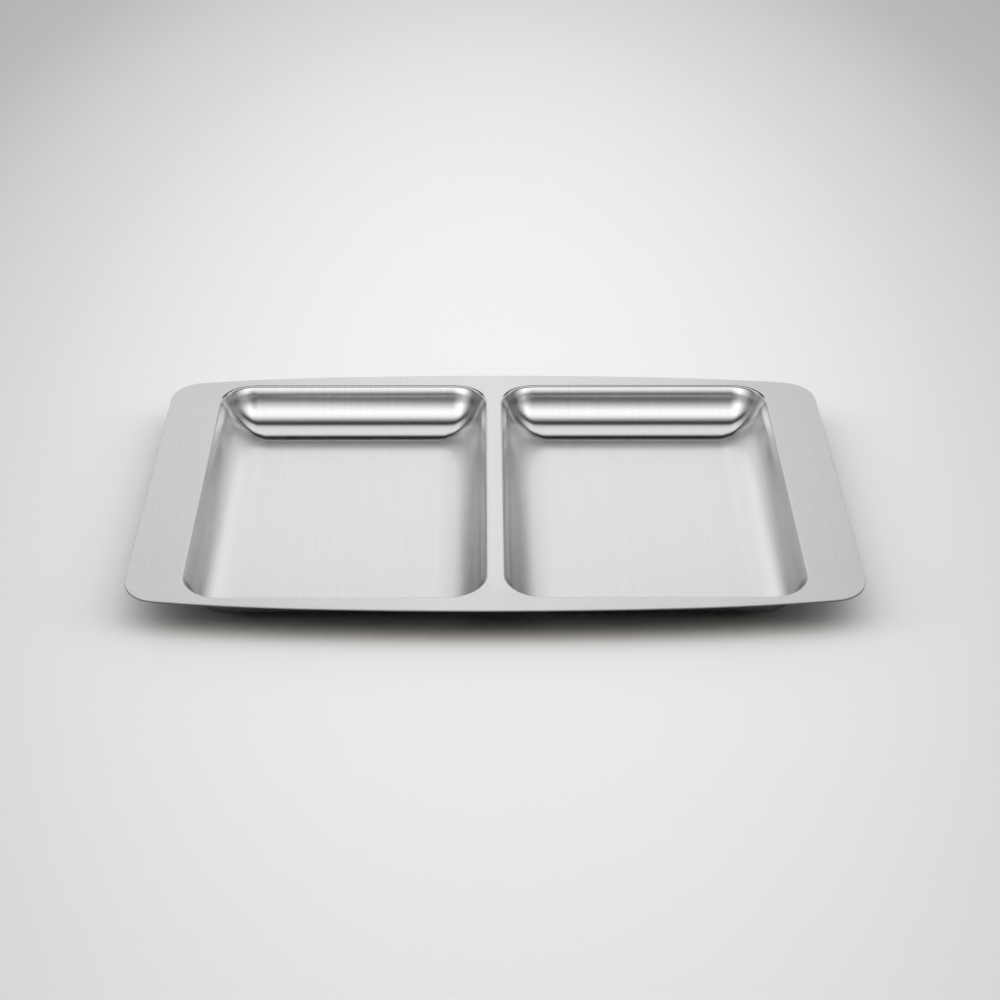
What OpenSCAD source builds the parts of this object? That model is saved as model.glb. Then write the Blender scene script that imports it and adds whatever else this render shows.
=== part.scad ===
// Divided compartment plate, pressed from one sheet of brushed stainless steel.
// A flat rim with bowed long sides carries two flat-floored wells with a narrow divider between them.
// The origin is on the surface that the plate stands on, under its middle.
// +X runs along the plate, +Y away from the person served, and +Z up.

/* [Plate] */
// Length of the plate, from end to end
plate_length = 360; // [330:1:400]
// Width of the plate across its middle
plate_width = 215; // [200:1:240]
// Thickness of the sheet
sheet_t = 1; // [0.8:0.1:1.5]

/* [Outline of the rim] */
// Radius of the long sides over their middle stretch
side_r = 2300; // [1800:10:4000]
// Distance from the plate's middle at which the long sides begin to turn in faster
shoulder_x = 90; // [60:1:120]
// Radius of the long sides from there to the corners
shoulder_r = 930; // [700:10:1500]
// Radius of the four outer corners
corner_r = 17.5; // [10:0.5:25]

/* [Wells] */
// Depth of the wells, from the top of the rim to the top of the floor
well_depth = 21.64; // [17:0.01:26]
// Width of the flat rim beyond the wells at each short end, which is the grip
end_rim = 26.7; // [20:0.1:36]
// Width of the flat rim along each long side, at the plate's middle
side_rim = 9.2; // [7:0.1:14]
// Width of the flat divider between the wells
divider_width = 6.2; // [5:0.1:14]

/* [Pressed bends] */
// Inside radius of the tight bend from the rim down into a wall, on the underside
bend_r = 2; // [1:0.1:4]
// Slope at which that bend gives way to the softer brow of the wall, in degrees: it rises 4 in 3
bend_slope = 53.1301; // [40:0.0001:60]
// Inside radius of the brow, on the underside
brow_r = 10; // [6:0.5:16]
// Slope of the walls where the brow ends and the fillet to the floor begins: it rises 24 in 7
wall_slope = 73.7398; // [70:0.0001:85]
// How far the fillets of two walls run into each other at the corners of the floor
fillet_overlap = 6.72; // [1:0.01:9]

/* [Hidden] */
steel = [0.85, 0.85, 0.84];

// Facets of the bends and corners, and of the long shallow arcs of the rim
$fn = 96;
arc_fn = 720;

// Radii on the upper face: the fillet takes up the depth that the bend and the brow leave
bend_top_r = bend_r + sheet_t;
brow_top_r = brow_r + sheet_t;
bend_drop = bend_top_r * (1 - cos(bend_slope));
brow_drop = brow_top_r * (cos(bend_slope) - cos(wall_slope));
fillet_r = (well_depth - bend_drop - brow_drop) / (1 - cos(wall_slope));
fillet_under_r = fillet_r + sheet_t;

// How far the whole wall leads inward, and the radius that this leaves for the mouth's corners
brow_run = brow_top_r * (sin(wall_slope) - sin(bend_slope));
wall_run = bend_top_r * sin(bend_slope) + brow_run + fillet_r * sin(wall_slope);
mouth_corner_r = wall_run - fillet_overlap;

// How far the seams between the bent strips are drawn beyond the faces of the sheet
seam_margin = sheet_t / 2;

// Size and centre of a well's mouth, measured where the flat rim ends
well_length = (plate_length - divider_width) / 2 - end_rim;
well_width = plate_width - 2 * side_rim;
well_x = (divider_width + well_length) / 2;

// Upright axis that a well's corner turns about, seen from the well's middle
corner_axis = [well_length / 2 - mouth_corner_r, well_width / 2 - mouth_corner_r];

// Centres of the rim's arcs, for the quarter of the outline with positive x and y
side_centre = [0, plate_width / 2 - side_r];
shoulder_angle = asin(shoulder_x / side_r);
shoulder_centre = side_centre + (side_r - shoulder_r) * bearing(shoulder_angle);
corner_centre_x = plate_length / 2 - corner_r;
corner_reach = corner_centre_x - shoulder_centre.x;
corner_angle = asin(corner_reach / (shoulder_r - corner_r));
corner_centre = shoulder_centre + (shoulder_r - corner_r) * bearing(corner_angle);

// Unit vector at an angle from +Y, turning towards +X
function bearing(a) = [sin(a), cos(a)];

// Each shape is drawn for its quarter with positive x and y, and mirrored into the other three
module quarters() {
    for (flip_x = [0, 1], flip_y = [0, 1])
        mirror([flip_x, 0]) mirror([0, flip_y]) children();
}

// Slice of a disc between two bearings, from the first clockwise to the second
module slice(centre, r, from, to) {
    reach = r / cos((to - from) / 2) + sheet_t;
    intersection() {
        translate(centre) circle(r);
        polygon([centre, centre + reach * bearing(from), centre + reach * bearing(to)]);
    }
}

// Cut across the sheet, from just above its upper face to just below its underside
function seam(centre, top_r, under_r, at) =
    let (beyond = seam_margin * sign(top_r - under_r)) [
        centre + (top_r + beyond) * bearing(at),
        centre + (under_r - beyond) * bearing(at),
    ];

// Strip of sheet bent round a centre from one seam to the next, which lie at two bearings
module bent_strip(centre, top_r, under_r, from, to, from_seam, to_seam) {
    outer_r = max(top_r, under_r);
    bulge = centre + (outer_r + seam_margin) / cos((to - from) / 2) * bearing((from + to) / 2);
    upper_bulge = top_r > under_r ? [bulge] : [];
    lower_bulge = top_r > under_r ? [] : [bulge];
    intersection() {
        difference() {
            translate(centre) circle(outer_r);
            translate(centre) circle(min(top_r, under_r));
        }
        polygon(concat(
            [from_seam[0]], upper_bulge, [to_seam[0], to_seam[1]], lower_bulge, [from_seam[1]]
        ));
    }
}

// Middle arc, shoulder arc, corner arc and straight end, each arc inside the one before it
module outline_quarter() {
    intersection() {
        square([plate_length, plate_width] / 2);
        union() {
            slice(side_centre, side_r, 0, shoulder_angle, $fn = arc_fn);
            slice(shoulder_centre, shoulder_r, 0, corner_angle, $fn = arc_fn);
            slice(corner_centre, corner_r, 0, 90);
            square([plate_length / 2, corner_centre.y]);
        }
    }
}

// Quarter of the plan of a well's mouth
module mouth_quarter() {
    square([corner_axis.x + mouth_corner_r, corner_axis.y]);
    square([corner_axis.x, corner_axis.y + mouth_corner_r]);
    translate(corner_axis) circle(mouth_corner_r);
}

// Section through a wall: x is measured from the axis of the well's corner, and y is height
module wall_section() {
    bend_centre = [mouth_corner_r, sheet_t + well_depth - bend_top_r];
    brow_centre = bend_centre + (bend_r - brow_r) * bearing(-bend_slope);
    fillet_centre = [-fillet_overlap, sheet_t + fillet_r];
    rim_seam = seam(bend_centre, bend_top_r, bend_r, 0);
    bend_seam = seam(bend_centre, bend_top_r, bend_r, -bend_slope);
    brow_seam = seam(brow_centre, brow_top_r, brow_r, -wall_slope);
    floor_seam = seam(fillet_centre, fillet_r, fillet_under_r, 180);
    bent_strip(bend_centre, bend_top_r, bend_r, -bend_slope, 0, bend_seam, rim_seam);
    bent_strip(brow_centre, brow_top_r, brow_r, -wall_slope, -bend_slope, brow_seam, bend_seam);
    bent_strip(fillet_centre, fillet_r, fillet_under_r, 180 - wall_slope, 180, brow_seam, floor_seam);
}

// Straight wall from one middle line of the well to its corner, with the corner's axis this far
// from the other middle line. It is mitred where its fillet overlaps that of the next wall.
module wall_stretch(distance, reach) {
    mitre = sheet_t + fillet_overlap;
    difference() {
        translate([distance, reach, 0])
            rotate([90, 0, 0])
                linear_extrude(reach)
                    wall_section();
        translate([distance, reach, 0])
            linear_extrude(well_depth, center = true)
                polygon([[-mitre, -mitre], [mitre, mitre], [-mitre, mitre]]);
    }
}

// Quarter turn of the wall about the axis of the well's corner
module wall_corner() {
    translate(corner_axis)
        rotate_extrude(angle = 90)
            intersection() {
                wall_section();
                square(2 * well_depth);
            }
}

module rim() {
    color(steel)
        translate([0, 0, well_depth])
            linear_extrude(sheet_t)
                difference() {
                    quarters() outline_quarter();
                    for (side = [-1, 1])
                        translate([side * well_x, 0]) quarters() mouth_quarter();
                }
}

module well_wall() {
    color(steel)
        quarters() {
            wall_stretch(corner_axis.x, corner_axis.y);
            mirror([1, -1, 0]) wall_stretch(corner_axis.y, corner_axis.x);
            wall_corner();
        }
}

module well_floor() {
    reach = corner_axis - [fillet_overlap, fillet_overlap];
    color(steel)
        linear_extrude(sheet_t)
            polygon([-reach, [reach.x, -reach.y], reach, [-reach.x, reach.y]]);
}

module left_well_wall() {
    translate([-well_x, 0, 0]) well_wall();
}

module left_well_floor() {
    translate([-well_x, 0, 0]) well_floor();
}

module right_well_wall() {
    translate([well_x, 0, 0]) well_wall();
}

module right_well_floor() {
    translate([well_x, 0, 0]) well_floor();
}

rim();
left_well_wall();
left_well_floor();
right_well_wall();
right_well_floor();
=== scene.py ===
"""Divided compartment plate: one continuous pressed sheet of brushed steel, built round the CAD frame.

Units are metres. The sheet is modelled along rays: each ray leaves the edge of a rectangle inside a
well, crosses the floor fillet, the wall and the bend, and runs out over the rim to the cut edge or to
the middle of the divider. Its points lie on the CAD model's surface, apart from the rounded cut edge.
Where the photograph shows a tighter bend or a softer mitre than the CAD, only the normals follow it.
"""
import math

import bmesh
import bpy
from mathutils import Matrix, Vector


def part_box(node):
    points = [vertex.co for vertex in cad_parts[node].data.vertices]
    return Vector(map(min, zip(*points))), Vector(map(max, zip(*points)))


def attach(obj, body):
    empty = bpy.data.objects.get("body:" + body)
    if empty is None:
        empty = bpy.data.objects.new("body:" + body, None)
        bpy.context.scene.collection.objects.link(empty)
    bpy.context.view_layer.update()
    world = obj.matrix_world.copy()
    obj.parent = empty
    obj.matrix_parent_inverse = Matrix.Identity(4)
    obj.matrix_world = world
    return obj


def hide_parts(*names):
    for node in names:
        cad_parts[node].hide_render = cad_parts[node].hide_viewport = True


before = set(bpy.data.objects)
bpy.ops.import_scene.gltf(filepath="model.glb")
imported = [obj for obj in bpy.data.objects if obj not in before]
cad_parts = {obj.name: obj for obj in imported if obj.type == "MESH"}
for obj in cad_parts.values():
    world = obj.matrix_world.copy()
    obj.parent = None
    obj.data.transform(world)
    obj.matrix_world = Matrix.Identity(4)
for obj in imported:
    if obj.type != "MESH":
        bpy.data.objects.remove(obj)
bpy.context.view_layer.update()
MM = 0.001

# Sizes of the plate, read from the frame where it gives them
plate_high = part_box("rim")[1]
mouth_low, mouth_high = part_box("right_well_wall")
floor_low, floor_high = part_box("right_well_floor")
HALF_LENGTH = plate_high[0]
HALF_WIDTH = plate_high[1]
SHEET = floor_high[2] - floor_low[2]
RIM_TOP = plate_high[2]
WELL_X = (mouth_low[0] + mouth_high[0]) / 2

# Pressed bends, as in the CAD model
BEND_R = 2 * MM
BEND_SLOPE = math.radians(53.1301)
BROW_R = 10 * MM
WALL_SLOPE = math.radians(73.7398)
FILLET_OVERLAP = 6.72 * MM

# Arcs of the rim's outline, as in the CAD model
SIDE_R = 2300 * MM
SHOULDER_X = 90 * MM
SHOULDER_R = 930 * MM
CORNER_R = 17.5 * MM

# Rounding of the cut edge, which the CAD model leaves square
EDGE_R = 0.28 * MM

# Shading by normals: at the plate's ends the bend comes to SHARP_SLOPE within SHARP_BEND of its path.
# Along the sides it stays level up to FLAT_START, and the brow below it steepens towards its foot.
SHARP_BEND = 1.9 * MM
SHARP_SLOPE = math.radians(64)
FLAT_START = 0.3 * BEND_SLOPE
BROW_POWER = 1.5
# The fillet stays nearly as steep as the wall for this much slope, and its mitre is soft this far out
STEEP_STRETCH = math.radians(6)
SOFT_CORNER = 12 * MM

# Painted shade and highlight on the walls that face to the side. They darken towards the front and with
# their slope: those beside the divider by one share, by one power of the slope, the outer ones by
# another.
# The outer ones also get a painted highlight where they lean by 45 degrees.
SHADE_FROM_Y = 20 * MM
SHADE_TO_Y = -85 * MM
SHADE_SLOPE = math.radians(50)
DIVIDER_LOSS = 0.57
DIVIDER_POWER = 1.6
OUTER_LOSS = 0.4
OUTER_POWER = 4
OUTER_GAIN = 0.24

# Painted highlight and shade in the wells' corners, which set in between two slopes. They follow how far
# the wall has turned to the side, from 0 to 1: rise from, rise to, fall from and fall to.
CORNER_FROM_SLOPE = math.radians(28)
CORNER_TO_SLOPE = math.radians(48)
HIGHLIGHT_TURN = (0, 0.12, 0.12, 0.24)
SHADE_TURN = (0.15, 0.45, 0.85, 1)
CORNER_GAIN = 0.15
DIVIDER_CORNER_LOSS = 0.72
OUTER_CORNER_LOSS = 0.6

# Finish of the steel: its colour, and cells of noise to the metre across the grain and along it
STEEL_COLOUR = (0.727, 0.727, 0.723, 1)
FINE_GRAIN = (3000, 170)
LONG_GRAIN = (1300, 22)
BROAD_GRAIN = (260, 9)
WAVES = (60, 25)

# Colours of the floor at the middle of its painted pool of light, of the side light, and of the backdrop
FLOOR_COLOUR = (0.694, 0.694, 0.694, 1)
SIDE_LIGHT = (0.95, 0.95, 0.95, 1)
BACKDROP = (0.36, 0.36, 0.36, 1)

# Divisions of the mesh
ALONG_X = 26
ALONG_Y = 34
CORNER_STEPS = 20
OVERLAP_STEPS = 4
FILLET_STEPS = 30
BROW_STEPS = 12
BEND_STEPS = 16
RIM_STEPS = 5
EDGE_STEPS = 3

# Angles and places nearer than this are the same, and points nearer than the weld are joined. Rays'
# directions are rounded to these digits, so that one along an axis is exactly so.
SAME_ANGLE = 1e-6
SAME_PLACE = 0.0001 * MM
WELD = 0.002 * MM
WAY_DIGITS = 12

# Zones that each point of the sheet belongs to, from 0 to 1, and the painted shade and highlight on its
# colour
ZONES = ("flange", "cut", "under", "painted_shading")

bend_top_r = BEND_R + SHEET
brow_top_r = BROW_R + SHEET
bend_drop = bend_top_r * (1 - math.cos(BEND_SLOPE))
brow_drop = brow_top_r * (math.cos(BEND_SLOPE) - math.cos(WALL_SLOPE))
fillet_r = (RIM_TOP - SHEET - bend_drop - brow_drop) / (1 - math.cos(WALL_SLOPE))
brow_run = brow_top_r * (math.sin(WALL_SLOPE) - math.sin(BEND_SLOPE))
wall_run = bend_top_r * math.sin(BEND_SLOPE) + brow_run + fillet_r * math.sin(WALL_SLOPE)
mouth_corner_r = wall_run - FILLET_OVERLAP
fillet_reach = mouth_corner_r - bend_top_r * math.sin(BEND_SLOPE) - brow_run
corner_axis = (
    (mouth_high[0] - mouth_low[0]) / 2 - mouth_corner_r,
    (mouth_high[1] - mouth_low[1]) / 2 - mouth_corner_r,
)


def bearing(angle):
    """Unit vector at an angle from +Y, turning towards +X."""
    return Vector((math.sin(angle), math.cos(angle)))


def share_between(value, first, last):
    """How far a value has gone from first to last, held within 0 and 1."""
    return max(0, min(1, (value - first) / (last - first)))


def plateau(value, rise_from, rise_to, fall_from, fall_to):
    """Share that rises from 0 to 1 between two values, and falls back to 0 between two others."""
    return min(share_between(value, rise_from, rise_to), share_between(value, fall_to, fall_from))


side_centre = Vector((0, HALF_WIDTH - SIDE_R))
shoulder_angle = math.asin(SHOULDER_X / SIDE_R)
shoulder_centre = side_centre + (SIDE_R - SHOULDER_R) * bearing(shoulder_angle)
corner_angle = math.asin((HALF_LENGTH - CORNER_R - shoulder_centre.x) / (SHOULDER_R - CORNER_R))
corner_centre = shoulder_centre + (SHOULDER_R - CORNER_R) * bearing(corner_angle)
outline_arcs = (
    (side_centre, SIDE_R, shoulder_angle),
    (shoulder_centre, SHOULDER_R, corner_angle),
    (corner_centre, CORNER_R, math.pi / 2),
)


def outline_hit(start, way):
    """Where a ray meets the plate's outline, with the outward normal.

    It is None twice for a ray that comes to the divider's middle line first.
    """
    flip = Vector((1 if start.x > 0 else -1, 1 if way.y >= 0 else -1))
    origin = start * flip
    ahead = way * flip
    for centre, radius, last_angle in outline_arcs:
        offset = origin - centre
        middle = -offset.dot(ahead)
        spread = middle ** 2 - offset.length_squared + radius ** 2
        if spread < 0:
            continue
        point = origin + ahead * (middle + math.sqrt(spread))
        normal = (point - centre).normalized()
        angle = math.atan2(normal.x, normal.y)
        if -SAME_ANGLE <= angle <= last_angle + SAME_ANGLE:
            return point * flip, normal * flip
    if ahead.x <= 0:
        return None, None
    point = origin + ahead * ((HALF_LENGTH - origin.x) / ahead.x)
    return point * flip, Vector((1, 0)) * flip


def profile(up):
    """Stations of the section from the floor outward, on the upper side or, with up -1, the lower.

    Each is the distance from the corner's axis, the height, the slope and the path along the sheet.
    """
    thinner = 0 if up > 0 else SHEET
    bend = Vector((mouth_corner_r, RIM_TOP - bend_top_r))
    brow = bend - (brow_top_r - bend_top_r) * bearing(-BEND_SLOPE)
    fillet = Vector((-FILLET_OVERLAP, SHEET + fillet_r))
    over_axis = math.asin(FILLET_OVERLAP / (fillet_r + thinner))
    arcs = (
        (fillet, -fillet_r - thinner, 0, over_axis, OVERLAP_STEPS),
        (fillet, -fillet_r - thinner, over_axis, WALL_SLOPE, FILLET_STEPS),
        (brow, brow_top_r - thinner, WALL_SLOPE, BEND_SLOPE, BROW_STEPS),
        (bend, bend_top_r - thinner, BEND_SLOPE, 0, BEND_STEPS),
    )
    stations = []
    path = -FILLET_OVERLAP
    for centre, radius, first, last, steps in arcs:
        for step in range(1 if stations else 0, steps + 1):
            slope = first + (last - first) * step / steps
            spot = centre + radius * bearing(-slope)
            if stations:
                path += math.hypot(spot.x - stations[-1][0], spot.y - stations[-1][1])
            stations.append((spot.x, spot.y, slope, path))
    return stations


def shaded_slope(reach, slope, way):
    """Slope that the light sees, where the bend from the rim is tighter than its arc."""
    if reach < fillet_reach:
        short_of_wall = WALL_SLOPE - slope
        return WALL_SLOPE - short_of_wall * (1 - math.exp(-(short_of_wall / STEEP_STRETCH) ** 2))
    below_rim = bend_top_r * min(slope, BEND_SLOPE) + brow_top_r * max(0, slope - BEND_SLOPE)
    at_ends = max(slope, SHARP_SLOPE * min(1, below_rim / SHARP_BEND))
    if slope < BEND_SLOPE:
        along_sides = BEND_SLOPE * share_between(slope, FLAT_START, BEND_SLOPE)
    else:
        share = share_between(slope, BEND_SLOPE, WALL_SLOPE)
        along_sides = BEND_SLOPE + (WALL_SLOPE - BEND_SLOPE) * share ** BROW_POWER
    return along_sides + (at_ends - along_sides) * way.x ** 2


def softened(spot, side, reach, slope, way):
    """Gradient that the light sees, blended across a mitre of two fillets and near a corner's axis."""
    local = (spot.x - side * WELL_X, spot.y)
    off_floor = [max(0, abs(value) - limit + FILLET_OVERLAP) for value, limit in zip(local, corner_axis)]
    if min(off_floor) > 0 and reach < SOFT_CORNER:
        blended = Vector([math.copysign(depth ** 2, value) for depth, value in zip(off_floor, local)])
        share = max(0, reach / SOFT_CORNER)
        eased = share * share * (3 - 2 * share)
        way = blended.normalized().lerp(way, eased).normalized()
    return way * math.tan(slope)


def painted_wall_shading(spot, side, slope, way):
    """Factor of painted shade and highlight on a wall: darker in the corners, and where it is steep in
    front.
    """
    turned = way.x ** 2
    front = share_between(spot.y, SHADE_FROM_Y, SHADE_TO_Y)
    steep = share_between(slope, 0, SHADE_SLOPE)
    if way.x * side < 0:
        corner_loss = DIVIDER_CORNER_LOSS
        change = -DIVIDER_LOSS * front * steep ** DIVIDER_POWER
    else:
        corner_loss = OUTER_CORNER_LOSS
        change = OUTER_GAIN * math.sin(2 * slope) ** 4 - OUTER_LOSS * front * steep ** OUTER_POWER
    high = share_between(slope, CORNER_FROM_SLOPE, CORNER_TO_SLOPE)
    corner_highlight = 1 + CORNER_GAIN * high * plateau(turned, *HIGHLIGHT_TURN)
    corner_shade = 1 - corner_loss * high * plateau(turned, *SHADE_TURN)
    return (1 + change * turned) * corner_highlight * corner_shade


def floor_spot(start, way, side, reach):
    """Point of the section at this reach, held on its side of the mitre, and the way its wall faces."""
    spot = start + way * reach
    if reach > SAME_PLACE:
        return spot, way
    inset = [limit + reach for limit in corner_axis]
    local = (spot.x - side * WELL_X, spot.y)
    held = [max(-limit, min(limit, value)) for value, limit in zip(local, inset)]
    if all(abs(abs(value) - limit) < SAME_PLACE for value, limit in zip(held, inset)):
        way = Vector((0, math.copysign(1, held[1])))
    return Vector((held[0] + side * WELL_X, held[1])), way


def well_rays(side):
    """Rays round one well in order, each with its start in the plan and its direction."""
    quadrants = ((1, 1), (-1, 1), (-1, -1), (1, -1))
    axes = [Vector((side * WELL_X + sx * corner_axis[0], sy * corner_axis[1])) for sx, sy in quadrants]
    rays = []
    for number, (sx, sy) in enumerate(quadrants):
        axis = axes[number]
        first = math.atan2(0, sx) if sx * sy > 0 else math.atan2(sy, 0)
        angles = [first + math.pi / 2 * step / CORNER_STEPS for step in range(CORNER_STEPS + 1)]
        if sx * side < 0:
            # One ray of a corner beside the divider ends where its middle line meets the outline
            junction = math.atan2(sy * HALF_WIDTH - axis.y, -axis.x)
            if junction < first:
                junction += 2 * math.pi
            nearest = min(range(1, CORNER_STEPS), key=lambda index: abs(angles[index] - junction))
            angles[nearest] = junction
        for angle in angles:
            way = Vector([round(value, WAY_DIGITS) for value in (math.cos(angle), math.sin(angle))])
            rays.append((axis, way))
        # The rays along the straight wall that follows keep the direction of the corner's last ray
        next_axis = axes[(number + 1) % len(axes)]
        count = ALONG_X if sx * sy > 0 else ALONG_Y
        for step in range(1, count):
            rays.append((axis.lerp(next_axis, step / count), way))
    return rays


class Skin:
    """Points and faces of the sheet. Each point has a normal, a place along the grain, and its zones."""

    def __init__(self):
        self.points = []
        self.normals = []
        self.grain = []
        self.zones = []
        self.faces = []

    def point(self, spot, z, normal, grain, up, flange=0.0, cut=0.0, painted_shading=1.0):
        """Add a point, and give its number."""
        under = 0 if up > 0 else 1
        self.points.append((spot.x, spot.y, z))
        self.normals.append(normal)
        self.grain.append((grain.x, grain.y))
        self.zones.append((flange, cut, under, painted_shading))
        return len(self.points) - 1

    def quad(self, corners, up):
        """Add a face to the upper side, or the other way round to the lower side."""
        self.faces.append(corners if up > 0 else corners[::-1])


def wall_points(skin, start, way, side, up, stations):
    """Points of one ray from the edge of the flat floor up to the mouth."""
    numbers = []
    for reach, z, slope, path in stations:
        spot, lean = floor_spot(start, way, side, reach)
        rise = softened(spot, side, reach, shaded_slope(reach, slope, way), lean)
        facing = Vector((-up * rise.x, -up * rise.y, up)).normalized()
        grain = spot + way * (path - reach)
        flange = share_between(reach, fillet_reach, mouth_corner_r)
        # Painted shade and highlight on this point of the wall
        painted_shading = painted_wall_shading(spot, side, slope, lean)
        numbers.append(skin.point(spot, z, facing, grain, up, flange=flange, painted_shading=painted_shading))
    return numbers


def rim_points(skin, start, way, up, excess):
    """Points of one ray from the mouth to the cut edge or the divider's middle, and whether it is cut."""
    height = RIM_TOP if up > 0 else RIM_TOP - SHEET
    mouth = start + way * mouth_corner_r
    end, outward = outline_hit(start, way)
    is_cut = end is not None
    inner_end = end - outward * EDGE_R if is_cut else start - way * (start.x / way.x)
    numbers = []
    for step in range(1, RIM_STEPS + 1):
        spot = mouth.lerp(inner_end, step / RIM_STEPS)
        numbers.append(skin.point(spot, height, (0, 0, up), spot + way * excess, up, flange=1.0))
    edge_steps = EDGE_STEPS if is_cut else 0
    for step in range(1, edge_steps + 1):
        angle = math.pi / 2 * step / EDGE_STEPS
        over = outward * math.sin(angle)
        spot = inner_end + EDGE_R * over
        z = height - up * EDGE_R * (1 - math.cos(angle))
        facing = (over.x, over.y, up * math.cos(angle))
        cut = step / EDGE_STEPS
        numbers.append(skin.point(spot, z, facing, spot + way * excess, up, flange=1.0, cut=cut))
    return numbers, is_cut


def lay_floor(skin, side, up, z):
    """Flat floor of a well inside the rays, with its outermost points on the rays' inner ends."""
    lines = []
    for half, divisions in zip(corner_axis, (ALONG_X, ALONG_Y)):
        values = [half * (2 * step / divisions - 1) for step in range(divisions + 1)]
        limit = half - FILLET_OVERLAP
        lines.append([max(-limit, min(limit, value)) for value in values])
    grid = []
    for x in lines[0]:
        spots = [Vector((x + side * WELL_X, y)) for y in lines[1]]
        grid.append([skin.point(spot, z, (0, 0, up), spot, up) for spot in spots])
    for left, right in zip(grid, grid[1:]):
        for j in range(ALONG_Y):
            skin.quad((left[j], right[j], right[j + 1], left[j + 1]), up)


def cover(skin, side, up):
    """One side of the sheet round one well. Gives each ray's points, and whether it ends at the edge."""
    stations = profile(up)
    last_reach, _, _, last_path = stations[-1]
    rows = []
    for start, way in well_rays(side):
        on_wall = wall_points(skin, start, way, side, up, stations)
        on_rim, is_cut = rim_points(skin, start, way, up, last_path - last_reach)
        rows.append((on_wall + on_rim, is_cut))
    for index, (row, _) in enumerate(rows):
        before, _ = rows[index - 1]
        for step in range(min(len(row), len(before)) - 1):
            skin.quad((before[step], before[step + 1], row[step + 1], row[step]), up)
    lay_floor(skin, side, up, stations[0][1])
    return rows


def sheet_mesh(skin):
    """Mesh of the skin, with the points that coincide joined, and with the skin's own normals."""
    mesh = bpy.data.meshes.new("pressed_sheet")
    mesh.from_pydata(skin.points, [], skin.faces)
    uv = mesh.uv_layers.new(name="grain")
    for loop in mesh.loops:
        uv.data[loop.index].uv = skin.grain[loop.vertex_index]
    facing = mesh.attributes.new("facing", "FLOAT_VECTOR", "POINT")
    facing.data.foreach_set("vector", [value for normal in skin.normals for value in normal])
    for column, name in enumerate(ZONES):
        zone = mesh.attributes.new(name, "FLOAT", "POINT")
        zone.data.foreach_set("value", [shares[column] for shares in skin.zones])
    weld = bmesh.new()
    weld.from_mesh(mesh)
    bmesh.ops.remove_doubles(weld, verts=weld.verts, dist=WELD)
    bmesh.ops.dissolve_degenerate(weld, edges=weld.edges, dist=SAME_PLACE)
    weld.to_mesh(mesh)
    weld.free()
    for face in mesh.polygons:
        face.use_smooth = True
    normals = [tuple(item.vector) for item in mesh.attributes["facing"].data]
    mesh.normals_split_custom_set_from_vertices(normals)
    return mesh


def build_plate():
    """The whole plate as one closed mesh: both sides of the sheet round both wells, and the cut edge."""
    skin = Skin()
    for side in (-1, 1):
        upper = cover(skin, side, 1)
        lower = cover(skin, side, -1)
        for index, (top, is_cut) in enumerate(upper):
            top_before, before_is_cut = upper[index - 1]
            bottom = lower[index][0]
            bottom_before = lower[index - 1][0]
            if is_cut and before_is_cut:
                skin.faces.append((top_before[-1], bottom_before[-1], bottom[-1], top[-1]))
    plate = bpy.data.objects.new("pressed_plate", sheet_mesh(skin))
    bpy.context.collection.objects.link(plate)
    return plate


class Wiring:
    """Adds nodes to one tree. Each is fed by sockets or plain values, and gives its output."""

    def __init__(self, tree):
        self.nodes = tree.nodes
        self.links = tree.links

    def feed(self, socket, value):
        """Link a socket to another, or set it to a plain value."""
        if isinstance(value, bpy.types.NodeSocket):
            self.links.new(value, socket)
        else:
            socket.default_value = value

    def maths(self, operation, *values):
        """Result of an operation on one, two or three values."""
        node = self.nodes.new("ShaderNodeMath")
        node.operation = operation
        for socket, value in zip(node.inputs, values):
            self.feed(socket, value)
        return node.outputs["Value"]

    def mix(self, factor, first, second, data_type="RGBA", blend_type="MIX"):
        """Mix of two colours, or of two numbers with the data type FLOAT."""
        node = self.nodes.new("ShaderNodeMix")
        node.data_type = data_type
        node.blend_type = blend_type
        for name, value in (("Factor", factor), ("A", first), ("B", second)):
            self.feed(node.inputs[name], value)
        return node.outputs["Result"]

    def tinted(self, colour, shade):
        """One colour multiplied by another, or by a number."""
        return self.mix(1, colour, shade, blend_type="MULTIPLY")

    def ramp(self, value, stops):
        """Level or colour as a ramp over a value, through stops of value and level."""
        low = stops[0][0]
        high = stops[-1][0]
        share = self.nodes.new("ShaderNodeMapRange")
        share.inputs["From Min"].default_value = low
        share.inputs["From Max"].default_value = high
        self.links.new(value, share.inputs["Value"])
        ramp = self.nodes.new("ShaderNodeValToRGB")
        self.links.new(share.outputs["Result"], ramp.inputs["Fac"])
        elements = ramp.color_ramp.elements
        elements[0].position = 0
        elements[1].position = 1
        for at, _ in stops[1:-1]:
            elements.new((at - low) / (high - low))
        for element, (_, level) in zip(elements, stops):
            element.color = (*level, 1) if isinstance(level, tuple) else (level, level, level, 1)
        return ramp.outputs["Color"]

    def attribute(self, name):
        """Number that the mesh carries under a name."""
        node = self.nodes.new("ShaderNodeAttribute")
        node.attribute_name = name
        return node.outputs["Fac"]

    def coordinates(self, kind):
        """Texture coordinates of a kind, as a vector."""
        return self.nodes.new("ShaderNodeTexCoord").outputs[kind]

    def separate(self, vector):
        """The x, y and z of a vector."""
        node = self.nodes.new("ShaderNodeSeparateXYZ")
        self.links.new(vector, node.inputs["Vector"])
        return node.outputs["X"], node.outputs["Y"], node.outputs["Z"]

    def noise(self, source, per_metre, detail):
        """Noise with this many cells to the metre across the grain and along it."""
        scaled = self.nodes.new("ShaderNodeVectorMath")
        scaled.operation = "MULTIPLY"
        self.links.new(source, scaled.inputs[0])
        scaled.inputs[1].default_value = (*per_metre, 1)
        noise = self.nodes.new("ShaderNodeTexNoise")
        noise.inputs["Scale"].default_value = 1
        noise.inputs["Detail"].default_value = detail
        self.links.new(scaled.outputs["Vector"], noise.inputs["Vector"])
        return noise.outputs["Fac"]


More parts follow.
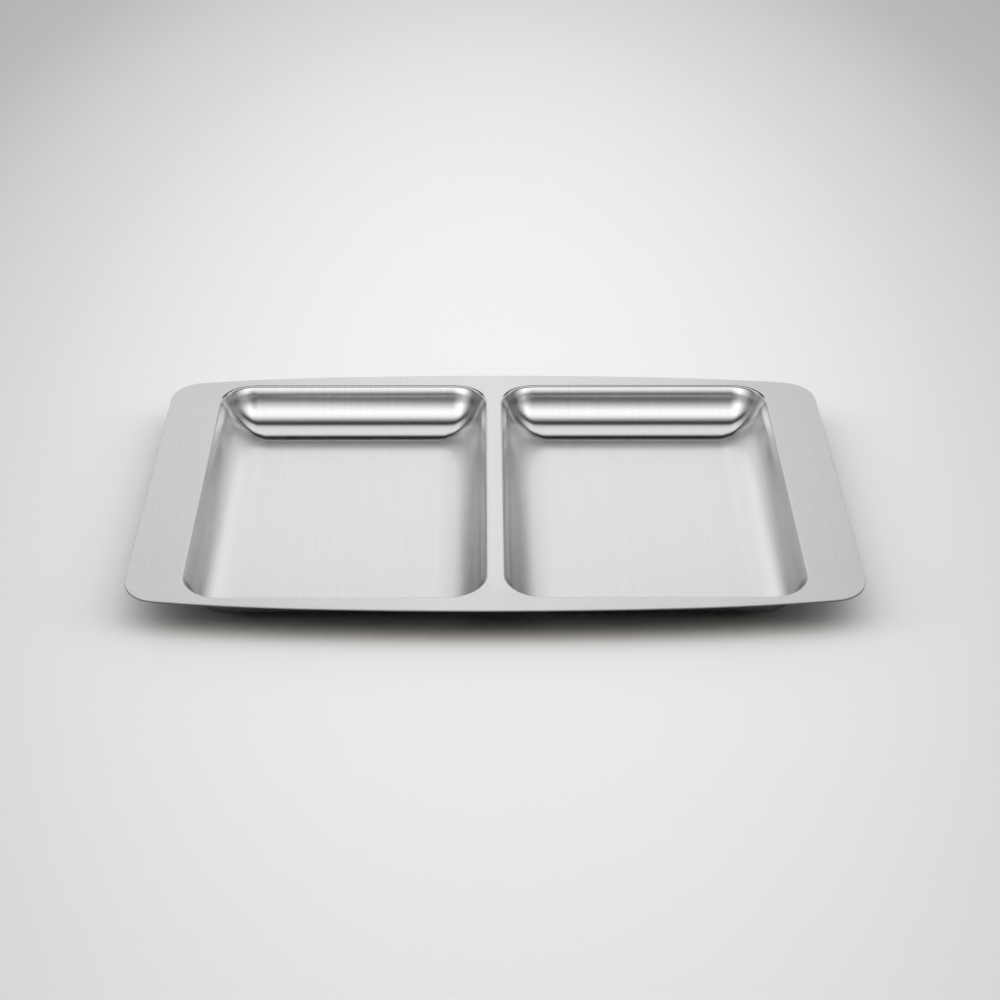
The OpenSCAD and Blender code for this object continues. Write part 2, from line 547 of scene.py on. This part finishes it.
def brushed_steel():
    """Satin stainless steel brushed front to back: shade painted at the plate's ends, a duller cut edge.
    """
    steel = bpy.data.materials.new("brushed_steel")
    steel.use_nodes = True
    wiring = Wiring(steel.node_tree)
    maths = wiring.maths
    shader = wiring.nodes["Principled BSDF"]
    shader.inputs["Metallic"].default_value = 1.0
    shader.inputs["Anisotropic"].default_value = 0.94
    tangent = wiring.nodes.new("ShaderNodeTangent")
    tangent.direction_type = "UV_MAP"
    tangent.uv_map = "grain"
    wiring.feed(shader.inputs["Tangent"], tangent.outputs["Tangent"])
    grain = wiring.nodes.new("ShaderNodeUVMap")
    grain.uv_map = "grain"
    along_grain = grain.outputs["UV"]
    lengthwise, _, upward = wiring.separate(wiring.coordinates("Object"))
    flange, cut, under, painted_shading = [wiring.attribute(name) for name in ZONES]

    # Fine streaks are strongest on the flange, and long ones on the upper part of the walls
    fine = wiring.noise(along_grain, FINE_GRAIN, 2)
    long = wiring.noise(along_grain, LONG_GRAIN, 2)
    broad = wiring.noise(along_grain, BROAD_GRAIN, 3)
    fine_strength = maths("MULTIPLY_ADD", flange, 0.08, 0.06)
    raised = wiring.ramp(upward, ((0, 0), (3 * MM, 0), (12 * MM, 1), (22 * MM, 1)))
    on_wall = maths("MULTIPLY", raised, maths("SUBTRACT", 1.0, flange))
    long_strength = maths("MULTIPLY_ADD", on_wall, 0.2, 0.05)
    long_streaks = maths("MULTIPLY_ADD", maths("SUBTRACT", long, 0.5), long_strength, 1)
    streaks = maths("MULTIPLY_ADD", maths("SUBTRACT", fine, 0.5), fine_strength, long_streaks)

    # Painted shade darkens the flange towards both ends and the whole underside; the cut edge is darker
    painted_end_shade = wiring.ramp(lengthwise, (
        (-0.18, 0.82), (-0.15, 0.83), (-0.1, 0.9), (0, 0.98), (0.05, 0.91), (0.1, 0.89), (0.15, 0.8),
        (0.18, 0.76),
    ))
    painted_flange_shade = wiring.mix(flange, 1, painted_end_shade, data_type="FLOAT")
    edge = maths("MULTIPLY_ADD", cut, -0.5, 1)
    # Painted shade over the whole underside, for the shadow beneath the plate
    painted_under_shade = maths("MULTIPLY_ADD", under, -0.8, 1)
    level = maths("MULTIPLY", streaks, painted_flange_shade)
    level = maths("MULTIPLY", level, maths("MULTIPLY", edge, painted_under_shade))
    # Painted shade and highlight on the walls
    level = maths("MULTIPLY", level, painted_shading)
    wiring.feed(shader.inputs["Base Color"], wiring.tinted(STEEL_COLOUR, level))

    # Roughness varies slowly, and the cut edge is rougher
    rough = maths("MULTIPLY_ADD", broad, 0.04, 0.2)
    wiring.feed(shader.inputs["Roughness"], maths("MULTIPLY_ADD", cut, 0.3, rough))

    # The surface is scored along the grain, and its waves are higher but far wider than the scoring
    waves = wiring.noise(along_grain, WAVES, 2)
    wave_height = 12
    bump = wiring.nodes.new("ShaderNodeBump")
    bump.inputs["Strength"].default_value = 1
    bump.inputs["Distance"].default_value = 0.002 * MM
    wiring.feed(bump.inputs["Height"], maths("MULTIPLY_ADD", waves, wave_height, broad))
    wiring.feed(shader.inputs["Normal"], bump.outputs["Normal"])
    return steel


plate = build_plate()
plate.data.materials.append(brushed_steel())
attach(plate, "root")
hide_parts("rim", "left_well_wall", "left_well_floor", "right_well_wall", "right_well_floor")


def pale_floor():
    """Matt pale surface with a painted pool of light behind the plate's middle, fading out in an oval."""
    pool_centre_y = 0.1585
    spread_x = 0.784
    spread_y = 1.755
    paper = bpy.data.materials.new("pale_floor")
    paper.use_nodes = True
    wiring = Wiring(paper.node_tree)
    shader = wiring.nodes["Principled BSDF"]
    shader.inputs["Roughness"].default_value = 0.9
    shader.inputs["Specular IOR Level"].default_value = 0.1
    spread = wiring.nodes.new("ShaderNodeMapping")
    spread.inputs["Location"].default_value = (0, -pool_centre_y / spread_y, 0)
    spread.inputs["Scale"].default_value = (1 / spread_x, 1 / spread_y, 0)
    wiring.feed(spread.inputs["Vector"], wiring.coordinates("Object"))
    square = wiring.nodes.new("ShaderNodeVectorMath")
    square.operation = "DOT_PRODUCT"
    for socket in square.inputs[:2]:
        wiring.feed(socket, spread.outputs["Vector"])
    # Painted pool of light: the floor's colour fades with the squared distance from its middle
    stops = ((0, 1), (0.12, 0.79), (0.3, 0.56), (0.6, 0.45), (2, 0.4))
    painted_light_pool = wiring.ramp(square.outputs["Value"], stops)
    wiring.feed(shader.inputs["Base Color"], wiring.tinted(FLOOR_COLOUR, painted_light_pool))
    return paper


def build_floor():
    """Plain square that the plate stands on."""
    reach = 6.0
    mesh = bpy.data.meshes.new("floor")
    corners = [(-reach, -reach, 0), (reach, -reach, 0), (reach, reach, 0), (-reach, reach, 0)]
    mesh.from_pydata(corners, [], [(0, 1, 2, 3)])
    mesh.materials.append(pale_floor())
    floor = bpy.data.objects.new("floor", mesh)
    bpy.context.collection.objects.link(floor)
    return floor


build_floor()


def seen_light(wiring, angle, x, across):
    """Light that the plate reflects: a pale sweep behind, dark gaps above and a soft light in front."""
    bands = wiring.ramp(angle, (
        (-180, 0.1), (-90, 0.35), (0, 0.3), (8, 0.38), (14, 0.63), (19, 0.91), (26, 1.05), (35, 1.09),
        (40, 1.07), (43, 0), (57, 0), (60, 0.25), (64, 1.07), (76, 1.07), (87, 0.94), (91, 0.82),
        (96, 0.12), (99, 0), (103, 0), (108, 0.28), (113, 0.7), (118, 1.15), (122, 1.34), (128, 1.45),
        (136, 1.47), (142, 1.32), (149, 1.08), (156, 0.78), (162, 0.54), (168, 0.35), (180, 0.2),
    ))
    # It falls off a little to either side
    fall = wiring.ramp(across, (
        (0, 1), (0.05, 1), (0.1, 0.95), (0.15, 0.91), (0.25, 0.9), (0.4, 0.94), (0.6, 0.95), (0.7, 0.9),
        (1, 0.6),
    ))
    # Low down on the camera's side it is darkest a little to the right, and brightest to the left
    low = wiring.ramp(angle, ((-180, 0), (135, 0), (163, 1), (180, 1)))
    aside = wiring.ramp(x, (
        (-0.3, 0.9), (-0.2, 0.8), (-0.13, 0.55), (-0.08, 0.28), (0, 0.1), (0.05, 0.02), (0.1, 0),
        (0.15, 0.02), (0.2, 0.12), (0.26, 0.4), (0.3, 0.5),
    ))
    gloom = wiring.maths("MULTIPLY", wiring.mix(low, 0.5, aside, data_type="FLOAT"), 2)
    shaped = wiring.tinted(bands, wiring.maths("MULTIPLY", fall, gloom))
    # Straight to the left and right it is evenly bright
    ends = wiring.ramp(across, ((0, 0), (0.78, 0), (0.96, 1), (1, 1)))
    return wiring.mix(ends, shaped, SIDE_LIGHT)


def cast_light(wiring, angle):
    """Light that falls on the floor: strongest overhead, and none from low down on the camera's side.

    With none from there, the floor in front of the plate and under its rim is in shadow.
    """
    bands = wiring.ramp(angle, (
        (-180, 0), (-90, 0.3), (0, 0.13), (30, 0.4), (52, 0.4), (60, 0.44), (70, 0.6), (80, 1.15),
        (86, 1.9), (92, 2.77), (100, 3.6), (107, 3.7), (113, 3.25), (119, 2.4), (124, 1.5), (129, 0.7),
        (135, 0.13), (140, 0), (180, 0),
    ))
    # It is warmer from the camera's side
    cool = (0.96, 1.0, 1.053)
    warm = (1.06, 1.0, 0.9)
    hue = wiring.ramp(angle, ((-180, cool), (102, cool), (118, warm), (180, warm)))
    return wiring.tinted(bands, hue)


def studio():
    """Light by direction alone, in bands by the angle up from the horizon behind the plate."""
    world = bpy.data.worlds.new("studio")
    bpy.context.scene.world = world
    world.use_nodes = True
    world.cycles.sampling_method = "NONE"
    wiring = Wiring(world.node_tree)
    x, y, z = wiring.separate(wiring.coordinates("Generated"))
    angle = wiring.maths("DEGREES", wiring.maths("ARCTAN2", z, y))
    across = wiring.maths("ABSOLUTE", x)
    path = wiring.nodes.new("ShaderNodeLightPath")
    light = seen_light(wiring, angle, x, across)
    light = wiring.mix(path.outputs["Is Diffuse Ray"], light, cast_light(wiring, angle))
    light = wiring.mix(path.outputs["Is Camera Ray"], light, BACKDROP)
    wiring.feed(wiring.nodes["Background"].inputs["Color"], light)


studio()


def place_camera():
    """Camera that was fitted to the photograph's edges, for a square frame."""
    data = bpy.data.cameras.new("camera")
    data.sensor_width = 36
    data.lens = 66.6
    pitch = math.radians(35.03)
    turn = math.radians(0.632)
    roll = math.radians(-0.279)
    above_rim = Vector((-5.95, -796.57, 547.24)) * MM
    place = Matrix.Translation(above_rim + Vector((0, 0, RIM_TOP)))
    aim = Matrix.Rotation(-turn, 4, "Z") @ Matrix.Rotation(math.pi / 2 - pitch, 4, "X")
    camera = bpy.data.objects.new("camera", data)
    camera.matrix_world = place @ aim @ Matrix.Rotation(-roll, 4, "Z")
    bpy.context.collection.objects.link(camera)
    bpy.context.scene.camera = camera


place_camera()
bpy.context.scene.view_settings.view_transform = "Standard"
